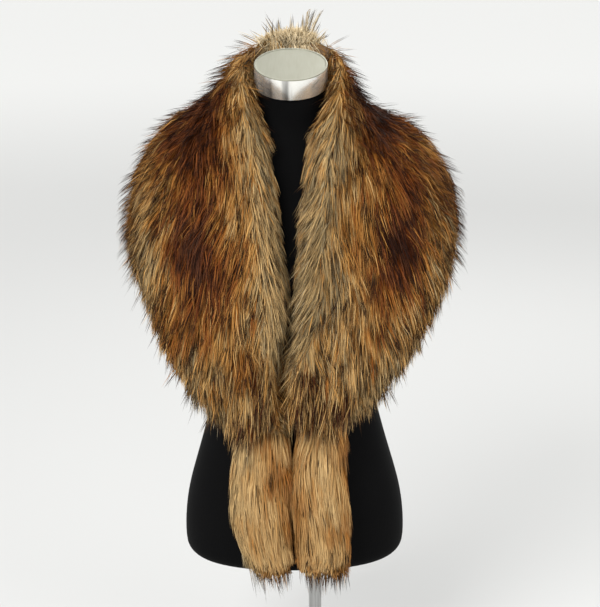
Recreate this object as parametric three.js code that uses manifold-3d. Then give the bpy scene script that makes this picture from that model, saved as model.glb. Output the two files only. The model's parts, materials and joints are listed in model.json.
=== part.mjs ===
// A long-pile fur collar wrap, worn on a limbless display form that stands on a pole and a round foot.
// Millimetres, +Z up, the floor at z = 0. The form faces -Y, and the origin is on the floor under its
// centre line. Left and right are as seen from the front. Heights named "up" are measured from the
// form's underside.
import * as THREE from "three";
import { mergeVertices } from "three/addons/utils/BufferGeometryUtils.js";
import Module from "manifold-3d";

// Driving dimensions of the stand
const UNDERSIDE = 230;
const FOOT_RADIUS = 150;
const FOOT_THICKNESS = 10;
const HUB_RADIUS = 21;
const HUB_HEIGHT = 42;
const POLE_RADIUS = 10;
const POLE_OFFSET = 32;
const POLE_GRIP = 60;
const SEAT_GAP = 0.3;

// Driving dimensions of the form's neck cap, which leans forward with the neck
const CAP_RADIUS = 54;
const CAP_HEIGHT = 32;
const CAP_EDGE = 2.5;
const CAP_TILT = 20;
const CAP_SEAT_UP = 736;
const CAP_SEAT_Y = -8;

// The form's body: rounded lower edge, squareness of its rings, and how finely they are made
const LOWER_EDGE_RADIUS = 24;
const LOWER_EDGE_STEPS = 4;
const RING_POWER = 2.35;
const FORM_STEPS = 30;
const FORM_SIDES = 36;

// The collar's fur: locks along each half, how far their ridges and tips stand out, where each
// section has its points, and the clearances kept at the centre, the form and the tails
const LOCKS = 36;
const LOCK_REACH = 15;
const LOCK_RIDGE = 2.6;
const END_LOCK_DROP = 14;
const CROSS_POINTS = [0, 0.06, 0.12, 0.17, 0.23, 0.31, 0.41, 0.53, 0.66, 0.79, 0.91, 1];
const SEAM_HALF_GAP = 0.3;
const FORM_CLEARANCE = 0.5;
const TAIL_CLEARANCE = 0.4;

// The two tails sewn under the collar's front ends
const TAIL_SIDES = 16;
const TAIL_STEPS = 16;
const TAIL_TOP_UP = 262;
const TAIL_END_UP = 6;
const TAIL_TIP_REACH = 40;

// Half widths, depths and lean of the form at heights above its underside. Shift moves a ring in Y.
const FORM_SECTIONS = [
  { up: 0, half: 172, front: 117, back: 122, shift: 0, tilt: 0 },
  { up: 60, half: 172.5, front: 120, back: 126, shift: 0, tilt: 0 },
  { up: 110, half: 165, front: 119, back: 124, shift: 0, tilt: 0 },
  { up: 160, half: 151, front: 113, back: 112, shift: 0, tilt: 0 },
  { up: 210, half: 137, front: 104, back: 95, shift: 0, tilt: 0 },
  { up: 270, half: 124, front: 96, back: 82, shift: 0, tilt: 0 },
  { up: 330, half: 127, front: 98, back: 84, shift: 0, tilt: 0 },
  { up: 400, half: 143, front: 114, back: 96, shift: 0, tilt: 0 },
  { up: 465, half: 156, front: 131, back: 106, shift: 0, tilt: 0 },
  { up: 520, half: 166, front: 119, back: 110, shift: 0, tilt: 0 },
  { up: 565, half: 178, front: 99, back: 108, shift: 0, tilt: 0 },
  { up: 598, half: 182, front: 84, back: 100, shift: 0, tilt: 0 },
  { up: 622, half: 164, front: 75, back: 91, shift: 2, tilt: 0 },
  { up: 645, half: 118, front: 64, back: 78, shift: 5, tilt: 3 },
  { up: 666, half: 74, front: 53, back: 60, shift: 6, tilt: 8 },
  { up: 690, half: 56, front: 49, back: 52, shift: 3, tilt: 13 },
  { up: 715, half: 51, front: 49, back: 49, shift: -3, tilt: 18 },
  { up: 736, half: 50, front: 50, back: 50, shift: -8, tilt: 20 },
];

// One half of the collar, from the centre back seam to the front end, in the form's heights.
// Foot: the inner edge, against the form. Crest: the top of the roll. Edge: the ends of the fur.
// Swell: how far the flank stands out between crest and edge. Face: the way it faces, in degrees
// from the back, with lift above the horizontal.
const COLLAR_SECTIONS = [
  { along: 0, footX: 0, footY: 57, footUp: 722, crestX: 0, crestY: 92, crestUp: 800,
    edgeX: 0, edgeY: 156, edgeUp: 520, swell: 24, face: 0, lift: 10 },
  { along: 0.09, footX: 32, footY: 49, footUp: 719, crestX: 40, crestY: 80, crestUp: 795,
    edgeX: 112, edgeY: 148, edgeUp: 514, swell: 28, face: 32, lift: 14 },
  { along: 0.18, footX: 49, footY: 27, footUp: 712, crestX: 63, crestY: 46, crestUp: 783,
    edgeX: 200, edgeY: 102, edgeUp: 510, swell: 40, face: 62, lift: 30 },
  { along: 0.27, footX: 55, footY: -8, footUp: 703, crestX: 74, crestY: -2, crestUp: 769,
    edgeX: 234, edgeY: 36, edgeUp: 504, swell: 49, face: 84, lift: 38 },
  { along: 0.36, footX: 51, footY: -40, footUp: 690, crestX: 71, crestY: -54, crestUp: 738,
    edgeX: 238, edgeY: -18, edgeUp: 484, swell: 46, face: 108, lift: 36 },
  { along: 0.46, footX: 34, footY: -68, footUp: 650, crestX: 60, crestY: -104, crestUp: 686,
    edgeX: 230, edgeY: -54, edgeUp: 440, swell: 40, face: 134, lift: 24 },
  { along: 0.57, footX: 22, footY: -104, footUp: 590, crestX: 48, crestY: -144, crestUp: 614,
    edgeX: 209, edgeY: -74, edgeUp: 386, swell: 30, face: 150, lift: 10 },
  { along: 0.68, footX: 15, footY: -130, footUp: 512, crestX: 38, crestY: -170, crestUp: 530,
    edgeX: 184, edgeY: -94, edgeUp: 334, swell: 18, face: 158, lift: 0 },
  { along: 0.78, footX: 4, footY: -130, footUp: 440, crestX: 30, crestY: -172, crestUp: 452,
    edgeX: 152, edgeY: -112, edgeUp: 292, swell: 14, face: 164, lift: 0 },
  { along: 0.87, footX: 0, footY: -114, footUp: 366, crestX: 25, crestY: -164, crestUp: 374,
    edgeX: 123, edgeY: -120, edgeUp: 264, swell: 12, face: 168, lift: 0 },
  { along: 0.94, footX: 0, footY: -104, footUp: 304, crestX: 21, crestY: -158, crestUp: 308,
    edgeX: 102, edgeY: -124, edgeUp: 250, swell: 12, face: 172, lift: 0 },
  { along: 1, footX: 1, footY: -106, footUp: 246, crestX: 18, crestY: -150, crestUp: 246,
    edgeX: 88, edgeY: -126, edgeUp: 244, swell: 10, face: 174, lift: 0 },
];

// Where the flank's own points lie between crest and edge, and the swell's share at the lower one
const FLANK = { valley: 0.22, middle: 0.5, lower: 0.78 };
const LOWER_SWELL = 0.88;
const ACROSS = { foot: 0, crest: 0.17, valley: 0.35, middle: 0.56, lower: 0.78, edge: 1 };

// Depth of the fur, from the ends of the pile down to the backing cloth, across the flank
const FOOT_DEPTH = 6;
const PILE_DEPTH = [
  { across: 0.3, depth: 31 },
  { across: 0.5, depth: 44 },
  { across: 0.65, depth: 44 },
  { across: 0.86, depth: 32 },
  { across: 1, depth: 5 },
];

// How the two halves differ: fullness of the flank beside the roll and at its middle, how low and
// wide the front end hangs, and how far the inner edge closes over the chest
const SIDES = {
  left: { sign: -1, valley: 0.25, middle: 1, hang: 2, spread: 1, close: 0 },
  right: { sign: 1, valley: -0.1, middle: 0.86, hang: -18, spread: 0.95, close: 0.3 },
};

// Below the chest both front ends lean to the wearer's right, where one laps towards the other
const LEAN = { shift: -16, width: 55, from: 252, peak: 305, fading: 330, gone: 440 };

// Middle line, half width and half depth of a tail, from its seam down
const TAIL_SECTIONS = {
  left: [
    { down: 0, x: -45, half: 34, depth: 20 },
    { down: 0.25, x: -47.5, half: 43, depth: 29 },
    { down: 0.6, x: -49, half: 44, depth: 31 },
    { down: 0.85, x: -39, half: 34, depth: 27 },
    { down: 1, x: -31, half: 24, depth: 20 },
  ],
  right: [
    { down: 0, x: 38, half: 32, depth: 20 },
    { down: 0.25, x: 37, half: 40, depth: 29 },
    { down: 0.6, x: 40, half: 42, depth: 31 },
    { down: 0.85, x: 43, half: 39, depth: 28 },
    { down: 1, x: 42, half: 30, depth: 21 },
  ],
};

const MATERIALS = {
  fur: { color: 0x8a5a2b, roughness: 0.9, metalness: 0 },
  tailFur: { color: 0xb0813f, roughness: 0.9, metalness: 0 },
  jersey: { color: 0x101113, roughness: 0.85, metalness: 0 },
  chrome: { color: 0xd9d7d0, roughness: 0.18, metalness: 1 },
  steel: { color: 0x9b9b98, roughness: 0.32, metalness: 1 },
};

const wasm = await Module();
wasm.setup();

// The value of one column at a place between rows, on a smooth curve through them.
function columnAt(rows, place, column, at) {
  const last = rows.length - 1;
  let i = 0;
  while (i < last - 1 && at > rows[i + 1][place]) i++;
  const slope = (j) => {
    const before = rows[Math.max(j - 1, 0)];
    const after = rows[Math.min(j + 1, last)];
    return (after[column] - before[column]) / (after[place] - before[place]);
  };
  const span = rows[i + 1][place] - rows[i][place];
  const w = THREE.MathUtils.clamp((at - rows[i][place]) / span, 0, 1);
  const start = (1 + 2 * w) * (1 - w) ** 2 * rows[i][column];
  const end = w * w * (3 - 2 * w) * rows[i + 1][column];
  const leaving = w * (1 - w) ** 2 * span * slope(i);
  const arriving = w * w * (w - 1) * span * slope(i + 1);
  return start + end + leaving + arriving;
}

function rowAt(rows, place, at) {
  const columns = Object.keys(rows[0]).filter((column) => column !== place);
  return Object.fromEntries(columns.map((column) => [column, columnAt(rows, place, column, at)]));
}

// Joins rings of points into one closed surface. Each end is closed by pairing its points across.
function loft(rings) {
  const size = rings[0].length;
  const index = [];
  for (let r = 0; r < rings.length - 1; r++) {
    for (let i = 0; i < size; i++) {
      const next = (i + 1) % size;
      const [a, b, c, d] = [r * size + i, r * size + next, (r + 1) * size + next, (r + 1) * size + i];
      index.push(a, b, c, a, c, d);
    }
  }
  const end = (rings.length - 1) * size;
  for (let i = 0; i < size / 2 - 1; i++) {
    const [a, b, c, d] = [i, i + 1, size - 2 - i, size - 1 - i];
    index.push(a, c, b, a, d, c);
    index.push(end + a, end + b, end + c, end + a, end + c, end + d);
  }
  const points = rings.flat().flatMap((p) => [p.x, p.y, p.z]);
  const geometry = new THREE.BufferGeometry();
  geometry.setAttribute("position", new THREE.Float32BufferAttribute(points, 3));
  geometry.setIndex(index);
  return geometry;
}

function solidOf(geometry) {
  const bare = geometry.clone();
  bare.deleteAttribute("normal");
  bare.deleteAttribute("uv");
  const merged = mergeVertices(bare, 1e-4);
  const mesh = new wasm.Mesh({
    numProp: 3,
    vertProperties: new Float32Array(merged.attributes.position.array),
    triVerts: new Uint32Array(merged.index.array),
  });
  const solid = new wasm.Manifold(mesh);
  if (solid.volume() <= 0) throw new Error("a solid is inside out");
  return solid;
}

function geometryOf(solid) {
  const { vertProperties, triVerts } = solid.getMesh();
  const geometry = new THREE.BufferGeometry();
  geometry.setAttribute("position", new THREE.BufferAttribute(vertProperties, 3));
  geometry.setIndex(new THREE.BufferAttribute(triVerts, 1));
  geometry.computeVertexNormals();
  return geometry;
}

// A boolean can leave slivers apart from the piece itself, so only the largest body is kept.
function largestBody(solid) {
  return solid.decompose().reduce((a, b) => (a.volume() > b.volume() ? a : b));
}

// One ring of the form: a rounded oval, taken in by inset and let out by clearance.
function formRing(up, inset, clearance) {
  const row = rowAt(FORM_SECTIONS, "up", up);
  const tilt = THREE.MathUtils.degToRad(row.tilt);
  const rounded = (value) => Math.sign(value) * Math.abs(value) ** (2 / RING_POWER);
  return Array.from({ length: FORM_SIDES }, (_, i) => {
    const angle = (i / FORM_SIDES) * 2 * Math.PI;
    const depth = Math.sin(angle) < 0 ? row.front : row.back;
    const x = (row.half - inset + clearance) * rounded(Math.cos(angle));
    const y = (depth - inset + clearance) * rounded(Math.sin(angle));
    const z = UNDERSIDE + up + y * Math.sin(tilt) + clearance;
    return new THREE.Vector3(x, row.shift + y * Math.cos(tilt), z);
  });
}

function formSolid(clearance) {
  const rings = [];
  for (let i = 0; i < LOWER_EDGE_STEPS; i++) {
    const turn = ((i / LOWER_EDGE_STEPS) * Math.PI) / 2;
    const inset = LOWER_EDGE_RADIUS * (1 - Math.sin(turn));
    rings.push(formRing(LOWER_EDGE_RADIUS * (1 - Math.cos(turn)), inset, clearance));
  }
  const top = FORM_SECTIONS.at(-1).up;
  for (let i = 0; i <= FORM_STEPS; i++) {
    rings.push(formRing(LOWER_EDGE_RADIUS + ((top - LOWER_EDGE_RADIUS) * i) / FORM_STEPS, 0, clearance));
  }
  return solidOf(loft(rings));
}

function poleSolid(clearance) {
  const bottom = FOOT_THICKNESS + SEAT_GAP;
  const top = UNDERSIDE + POLE_GRIP + clearance;
  const geometry = new THREE.CylinderGeometry(
    POLE_RADIUS + clearance, POLE_RADIUS + clearance, top - bottom, 28);
  geometry.rotateX(Math.PI / 2);
  geometry.translate(POLE_OFFSET, 0, (top + bottom) / 2);
  return solidOf(geometry);
}

// The round foot with its hub, whose blind bore takes the pole.
function footGeometry() {
  const bore = POLE_RADIUS + SEAT_GAP;
  const profile = [
    [0, 0], [FOOT_RADIUS - 1, 0], [FOOT_RADIUS, 1], [FOOT_RADIUS, FOOT_THICKNESS - 3],
    [FOOT_RADIUS - 3, FOOT_THICKNESS], [HUB_RADIUS + 5, FOOT_THICKNESS],
    [HUB_RADIUS, FOOT_THICKNESS + 5], [HUB_RADIUS, HUB_HEIGHT - 2], [HUB_RADIUS - 2, HUB_HEIGHT],
    [bore, HUB_HEIGHT], [bore, FOOT_THICKNESS], [0, FOOT_THICKNESS],
  ].map(([r, z]) => new THREE.Vector2(r, z));
  const geometry = new THREE.LatheGeometry(profile, 48);
  geometry.rotateX(Math.PI / 2);
  geometry.translate(POLE_OFFSET, 0, 0);
  return geometry;
}

function capGeometry() {
  const profile = [
    [0, 0], [CAP_RADIUS - 1, 0], [CAP_RADIUS, 1], [CAP_RADIUS, CAP_HEIGHT - CAP_EDGE],
    [CAP_RADIUS - CAP_EDGE / 3, CAP_HEIGHT - CAP_EDGE / 3],
    [CAP_RADIUS - CAP_EDGE, CAP_HEIGHT], [0, CAP_HEIGHT],
  ].map(([r, z]) => new THREE.Vector2(r, z));
  const geometry = new THREE.LatheGeometry(profile, 56);
  geometry.rotateX(Math.PI / 2);
  return geometry;
}

// A repeatable uneven number from -1 to 1 for lock number n.
function uneven(n) {
  const wave = Math.sin(n * 12.9898 + 4.1) * 43758.5453;
  return 2 * (wave - Math.floor(wave)) - 1;
}

// The way the whole flank faces at a section.
function facing(along) {
  const face = THREE.MathUtils.degToRad(columnAt(COLLAR_SECTIONS, "along", "face", along));
  const lift = THREE.MathUtils.degToRad(columnAt(COLLAR_SECTIONS, "along", "lift", along));
  return new THREE.Vector3(
    Math.sin(face) * Math.cos(lift), Math.cos(face) * Math.cos(lift), Math.sin(lift));
}

// The outer face of one half of the collar, as far as the ends of the fur.
// Across runs from 0 at the foot to 1 at the edge, along from 0 at the back seam to 1 at the front end.
function collarFace(side, along, across) {
  const row = rowAt(COLLAR_SECTIONS, "along", along);
  const low = THREE.MathUtils.smoothstep(along, 0.45, 0.9);
  const closing = 1 - side.close * THREE.MathUtils.smoothstep(along, 0.36, 0.46);
  const foot = new THREE.Vector3(row.footX * closing, row.footY, row.footUp);
  const crest = new THREE.Vector3(row.crestX, row.crestY, row.crestUp);
  const spread = THREE.MathUtils.lerp(1, side.spread, low);
  const edge = new THREE.Vector3(row.edgeX * spread, row.edgeY, row.edgeUp - side.hang * low);
  const flank = (share, swell) =>
    crest.clone().lerp(edge, share).addScaledVector(facing(along), swell * row.swell);
  const points = [
    { across: ACROSS.foot, ...foot },
    { across: ACROSS.crest, ...crest },
    { across: ACROSS.valley, ...flank(FLANK.valley, side.valley) },
    { across: ACROSS.middle, ...flank(FLANK.middle, side.middle) },
    { across: ACROSS.lower, ...flank(FLANK.lower, LOWER_SWELL) },
    { across: ACROSS.edge, ...edge },
  ];
  const at = rowAt(points, "across", across);
  return new THREE.Vector3(at.x, at.y, UNDERSIDE + at.z);
}

// Moves a finished point sideways by the lean of the front ends.
function leaned(point) {
  const up = point.z - UNDERSIDE;
  const { smoothstep } = THREE.MathUtils;
  const share = smoothstep(up, LEAN.from, LEAN.peak) * (1 - smoothstep(up, LEAN.fading, LEAN.gone));
  point.x += LEAN.shift * share * Math.exp(-((point.x / LEAN.width) ** 2));
  return point;
}

function collarNormal(side, along, across) {
  const step = 0.004;
  const [a0, a1] = [Math.max(along - step, 0), Math.min(along + step, 1)];
  const [c0, c1] = [Math.max(across - step, 0), Math.min(across + step, 1)];
  const lengthways = collarFace(side, a1, across).sub(collarFace(side, a0, across));
  const crossways = collarFace(side, along, c1).sub(collarFace(side, along, c0));
  return lengthways.cross(crossways).normalize();
}

// The back of the fur at the backing cloth. Behind the roll it runs straight from flank to foot.
function collarBack(side, along, across) {
  const behind = (at) => {
    const depth = columnAt(PILE_DEPTH, "across", "depth", at);
    const outward = collarNormal(side, along, at);
    outward.lerp(facing(along), THREE.MathUtils.smoothstep(along, 0.4, 0.6)).normalize();
    return collarFace(side, along, at).addScaledVector(outward, -depth);
  };
  if (across >= ACROSS.valley) return behind(across);
  const foot = collarFace(side, along, 0);
  const flank = behind(ACROSS.valley);
  foot.addScaledVector(flank.clone().sub(foot).normalize(), FOOT_DEPTH);
  return foot.lerp(flank, across / ACROSS.valley);
}

// One half of the collar as a thick wall of fur. Every second section is the ridge and tip of a lock.
function collarSolid(side) {
  const sections = 2 * LOCKS;
  const rings = [];
  for (let s = 0; s <= sections; s++) {
    const along = s / sections;
    const ridge = (s % 2 ? 1 : -1) * (0.75 + 0.25 * uneven(s)) * Math.min(1, s / 2);
    const outer = [];
    const inner = [];
    for (const [c, across] of CROSS_POINTS.entries()) {
      const point = collarFace(side, along, across);
      const hairy = THREE.MathUtils.smoothstep(across, 0.1, 0.5);
      point.addScaledVector(collarNormal(side, along, across), LOCK_RIDGE * ridge * hairy);
      if (across === ACROSS.edge) {
        const towardsTip = point.clone().sub(collarFace(side, along, 0.85)).normalize();
        const reach = LOCK_REACH * (ridge > 0 ? 1 + 0.5 * uneven(s + 7) : -0.4);
        point.addScaledVector(towardsTip, reach);
      }
      if (s === sections && c % 2) point.z -= END_LOCK_DROP;
      outer.push(point);
      inner.push(collarBack(side, along, across));
    }
    const ring = [...outer, ...inner.reverse()];
    for (const p of ring) {
      p.x = side.sign * Math.max(p.x, SEAM_HALF_GAP);
      leaned(p);
    }
    rings.push(side.sign < 0 ? ring : ring.reverse());
  }
  return solidOf(loft(rings));
}

// A tail: a flattened tube of fur that hangs against the form's front and ends in pointed locks.
function tailSolid(rows, clearance) {
  const rings = [];
  for (let s = 0; s <= TAIL_STEPS; s++) {
    const down = s / TAIL_STEPS;
    const row = rowAt(rows, "down", down);
    const up = THREE.MathUtils.lerp(TAIL_TOP_UP, TAIL_END_UP, down);
    const front = columnAt(FORM_SECTIONS, "up", "front", Math.max(up, 0)) + FORM_CLEARANCE + 0.2;
    const ring = Array.from({ length: TAIL_SIDES }, (_, i) => {
      const angle = (i / TAIL_SIDES) * 2 * Math.PI;
      const ridge = 1 + (i % 2 ? 0.05 : -0.03) * Math.min(1, 3 * down);
      const x = row.x + (row.half * ridge + clearance) * Math.cos(angle);
      const y = -front - row.depth + (row.depth * Math.min(ridge, 1) + clearance) * Math.sin(angle);
      const tip = s === TAIL_STEPS && i % 2 ? TAIL_TIP_REACH * (0.75 + 0.25 * uneven(i)) : 0;
      return new THREE.Vector3(x, y, UNDERSIDE + up - tip + (s === 0 ? clearance : 0));
    });
    rings.push(ring.reverse());
  }
  return solidOf(loft(rings));
}

const part = new THREE.Group();

function addPiece(name, geometry, material) {
  const mesh = new THREE.Mesh(geometry, new THREE.MeshStandardMaterial(MATERIALS[material]));
  mesh.name = name;
  part.add(mesh);
  return mesh;
}

const form = formSolid(0).subtract(poleSolid(SEAT_GAP));
addPiece("form_body", geometryOf(form), "jersey");
addPiece("form_pole", geometryOf(poleSolid(0)), "steel");
addPiece("form_foot", footGeometry(), "steel");

const cap = addPiece("form_neck_cap", capGeometry(), "chrome");
cap.rotation.x = THREE.MathUtils.degToRad(CAP_TILT);
cap.position.set(0, CAP_SEAT_Y, UNDERSIDE + CAP_SEAT_UP + SEAT_GAP);

const formRoom = formSolid(FORM_CLEARANCE);
const tailRoom = Object.values(TAIL_SECTIONS).map((rows) => tailSolid(rows, TAIL_CLEARANCE));
for (const [name, side] of Object.entries(SIDES)) {
  const panel = tailRoom.reduce((rest, tail) => rest.subtract(tail), collarSolid(side));
  addPiece(`collar_panel_${name}`, geometryOf(largestBody(panel.subtract(formRoom))), "fur");
  addPiece(`collar_tail_${name}`, geometryOf(tailSolid(TAIL_SECTIONS[name], 0)), "tailFur");
}

export default part;
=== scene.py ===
"""A long-pile fur collar wrap with two tails, on a black jersey dress form with a metal neck cap."""

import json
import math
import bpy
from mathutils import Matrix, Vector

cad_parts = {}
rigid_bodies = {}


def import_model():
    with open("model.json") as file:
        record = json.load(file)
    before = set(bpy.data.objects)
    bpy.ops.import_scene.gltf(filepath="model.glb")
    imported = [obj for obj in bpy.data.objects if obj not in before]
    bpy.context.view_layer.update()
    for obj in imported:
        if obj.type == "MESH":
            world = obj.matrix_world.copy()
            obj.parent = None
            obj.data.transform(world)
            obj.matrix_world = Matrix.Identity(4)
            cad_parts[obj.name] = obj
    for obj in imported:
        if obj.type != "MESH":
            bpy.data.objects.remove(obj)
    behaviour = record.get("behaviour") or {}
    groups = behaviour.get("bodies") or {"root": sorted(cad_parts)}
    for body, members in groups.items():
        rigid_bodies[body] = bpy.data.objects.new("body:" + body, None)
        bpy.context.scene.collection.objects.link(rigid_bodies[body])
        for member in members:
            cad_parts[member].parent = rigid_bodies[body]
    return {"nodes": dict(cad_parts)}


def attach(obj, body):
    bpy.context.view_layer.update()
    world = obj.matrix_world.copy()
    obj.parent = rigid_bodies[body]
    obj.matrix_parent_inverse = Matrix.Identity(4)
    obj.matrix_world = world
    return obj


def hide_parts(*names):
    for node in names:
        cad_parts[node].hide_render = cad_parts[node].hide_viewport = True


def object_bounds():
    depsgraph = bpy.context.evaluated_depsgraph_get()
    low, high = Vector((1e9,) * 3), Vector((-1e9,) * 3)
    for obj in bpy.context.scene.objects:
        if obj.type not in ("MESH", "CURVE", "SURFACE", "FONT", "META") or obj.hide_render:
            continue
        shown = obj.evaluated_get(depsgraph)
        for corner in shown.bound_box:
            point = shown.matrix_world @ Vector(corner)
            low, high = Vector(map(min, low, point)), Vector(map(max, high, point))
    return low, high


bl_info = {
    "name": "Fur Collar Wrap",
    "version": (1, 0, 0),
    "blender": (4, 5, 0),
    "location": "3D View > Sidebar > Collar Wrap",
    "description": "Builds a fur collar wrap on its dress form, and a plain studio for it",
    "category": "Object",
}

import bmesh
import bpy
import numpy as np
from mathutils import Euler, Matrix, Vector, kdtree

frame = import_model()
CAD_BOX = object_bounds()

MM = 0.001
UNDERSIDE = 0.230
SIDES = ("left", "right")

# The dress form's rings, in millimetres and degrees. Columns: up, its height above the form's
# underside, half, its half width, front and back, its depths, then its shift in Y and its tilt.
FORM_ROWS = (
    (0, 172, 117, 122, 0, 0),
    (60, 172.5, 120, 126, 0, 0),
    (110, 165, 119, 124, 0, 0),
    (160, 151, 113, 112, 0, 0),
    (210, 137, 104, 95, 0, 0),
    (270, 124, 96, 82, 0, 0),
    (330, 127, 98, 84, 0, 0),
    (400, 143, 114, 96, 0, 0),
    (465, 156, 131, 106, 0, 0),
    (520, 166, 119, 110, 0, 0),
    (565, 178, 99, 108, 0, 0),
    (598, 182, 84, 100, 0, 0),
    (622, 164, 75, 91, 2, 0),
    (645, 118, 64, 78, 5, 3),
    (666, 74, 53, 60, 6, 8),
    (690, 56, 49, 52, 3, 13),
    (715, 51, 49, 49, -3, 18),
    (736, 50, 50, 50, -8, 20),
)
RING_POWER = 2.35
CAP = {
    "radius": 0.054, "height": 0.032, "tilt": 20, "up": 0.7363, "y": -0.008,
    "rim": 0.0030, "dish": 0.0006, "step": 0.0008,
}  # fmt: skip
POLE = {"radius": 0.010, "x": 0.032, "grip": 0.060}
FOOT = {
    "radius": 0.150, "thickness": 0.010, "hub": 0.021, "hub_height": 0.042, "fillet": 0.005, "gap": 0.0003,
}  # fmt: skip
SHARP = math.radians(50)

# The photo's camera: lens and sensor in millimetres, its place in metres, and its turns in degrees
CAMERA = {"lens": 92.05, "sensor": 36, "place": (0.011, -2.3, 1.237), "down": 14.8, "roll": -0.4}

# One half of the collar from the centre back seam to the front end, as far as the fur reaches.
PANEL_COLUMNS = (
    "along", "footX", "footY", "footUp", "crestX", "crestY", "crestUp",
    "edgeX", "edgeY", "edgeUp", "swell", "face", "lift",
)  # fmt: skip
PANEL_ROWS = (
    (0, 0, 57, 722, 0, 92, 800, 0, 156, 520, 24, 0, 10),
    (0.09, 32, 49, 719, 40, 80, 795, 112, 148, 514, 28, 32, 14),
    (0.18, 49, 27, 712, 63, 46, 783, 200, 102, 510, 40, 62, 30),
    (0.27, 55, -8, 703, 74, -2, 769, 234, 36, 504, 49, 84, 38),
    (0.36, 51, -40, 690, 71, -54, 738, 238, -18, 484, 46, 108, 36),
    (0.46, 34, -68, 650, 60, -104, 686, 230, -54, 440, 40, 134, 24),
    (0.57, 22, -104, 590, 48, -144, 614, 209, -74, 386, 30, 150, 10),
    (0.68, 15, -130, 512, 38, -170, 530, 184, -94, 334, 18, 158, 0),
    (0.78, 4, -130, 440, 30, -172, 452, 152, -112, 292, 14, 164, 0),
    (0.87, 0, -114, 366, 25, -164, 374, 123, -120, 264, 12, 168, 0),
    (0.94, 0, -104, 304, 21, -158, 308, 102, -124, 250, 12, 172, 0),
    (1, 1, -106, 246, 18, -150, 246, 88, -126, 244, 10, 174, 0),
)
ACROSS = np.array((0, 0.17, 0.35, 0.56, 0.78, 1))
FLANK = {"valley": 0.22, "middle": 0.5, "lower": 0.78}
LOWER_SWELL = 0.88
HALVES = {
    "left": {"sign": -1, "valley": 0.25, "middle": 1, "hang": 2, "spread": 1, "close": 0},
    "right": {"sign": 1, "valley": -0.1, "middle": 0.86, "hang": -18, "spread": 0.95, "close": 0.3},
}
LEAN = {"shift": -16, "width": 55, "from": 252, "peak": 305, "fading": 330, "gone": 440}

# Depth of the backing cloth under the ends of the fur, across the panel, in millimetres
BACKING_DEPTH = (
    (0, 4), (0.1, 9), (0.17, 12), (0.25, 14), (0.35, 28), (0.5, 42), (0.65, 43), (0.86, 30), (1, 6),
)  # fmt: skip
BACKING_END = 0.9
BACKING_WALL = 0.0012
TAIL_PILE = 0.016

# Each tail's sections, in millimetres. Columns: down, from 0 at its seam to 1 at its end, x, its
# middle line, then its half width and half depth.
TAIL_ROWS = {
    "left": (
        (0, -45, 34, 20), (0.25, -47.5, 43, 29), (0.6, -49, 44, 31), (0.85, -39, 34, 27),
        (1, -31, 24, 20),
    ),
    "right": (
        (0, 38, 32, 20), (0.25, 37, 40, 29), (0.6, 40, 42, 31), (0.85, 43, 39, 28), (1, 42, 30, 21),
    ),
}  # fmt: skip
TAIL_TOP = 262
TAIL_END = 6

# Shades of the coat, each a soft spot on the front: its place, its reach, and the shade
# that it pulls the fur to, with how strongly. Shade runs from 0, near black, to 1, cream.
SPOT_COLUMNS = ("x", "z", "wide", "high", "shade", "pull")
SPOTS = (
    (-0.150, 0.910, 0.062, 0.046, 0.08, 0.90),
    (-0.190, 0.825, 0.030, 0.050, 0.46, 0.60),
    (-0.125, 0.850, 0.052, 0.046, 0.22, 0.78),
    (-0.130, 0.745, 0.066, 0.085, 0.24, 0.82),
    (-0.150, 0.738, 0.032, 0.062, 0.0, 0.95),
    (-0.105, 0.690, 0.040, 0.040, 0.16, 0.70),
    (-0.085, 0.770, 0.022, 0.060, 0.56, 0.70),
    (-0.218, 0.700, 0.040, 0.105, 0.84, 0.90),
    (-0.140, 0.615, 0.060, 0.050, 0.36, 0.65),
    (-0.050, 0.525, 0.050, 0.045, 0.18, 0.60),
    (0.032, 0.900, 0.026, 0.080, 0.66, 0.50),
    (0.072, 0.975, 0.030, 0.040, 0.68, 0.70),
    (-0.084, 0.950, 0.024, 0.055, 0.72, 0.65),
    (-0.118, 0.935, 0.034, 0.036, 0.14, 0.80),
    (0.118, 0.948, 0.030, 0.034, 0.08, 0.85),
    (0.148, 0.900, 0.045, 0.042, 0.06, 0.92),
    (0.188, 0.820, 0.030, 0.040, 0.27, 0.85),
    (0.162, 0.750, 0.036, 0.060, 0.02, 0.94),
    (0.135, 0.690, 0.050, 0.045, 0.20, 0.75),
    (0.098, 0.780, 0.030, 0.090, 0.47, 0.80),
    (0.218, 0.745, 0.022, 0.080, 0.66, 0.70),
    (0.190, 0.610, 0.050, 0.060, 0.62, 0.55),
    (0.090, 0.520, 0.050, 0.050, 0.68, 0.50),
    (-0.105, 0.505, 0.040, 0.045, 0.66, 0.50),
    (0.120, 0.600, 0.055, 0.050, 0.45, 0.60),
    (0.030, 0.530, 0.040, 0.040, 0.22, 0.55),
)

PANEL_COUNTS = {"locks": 1500, "tufts": 6500, "undercoat": 38000, "guard": 39000}
TAIL_COUNTS = {"locks": 240, "tufts": 1300, "hairs": 15000}

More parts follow.
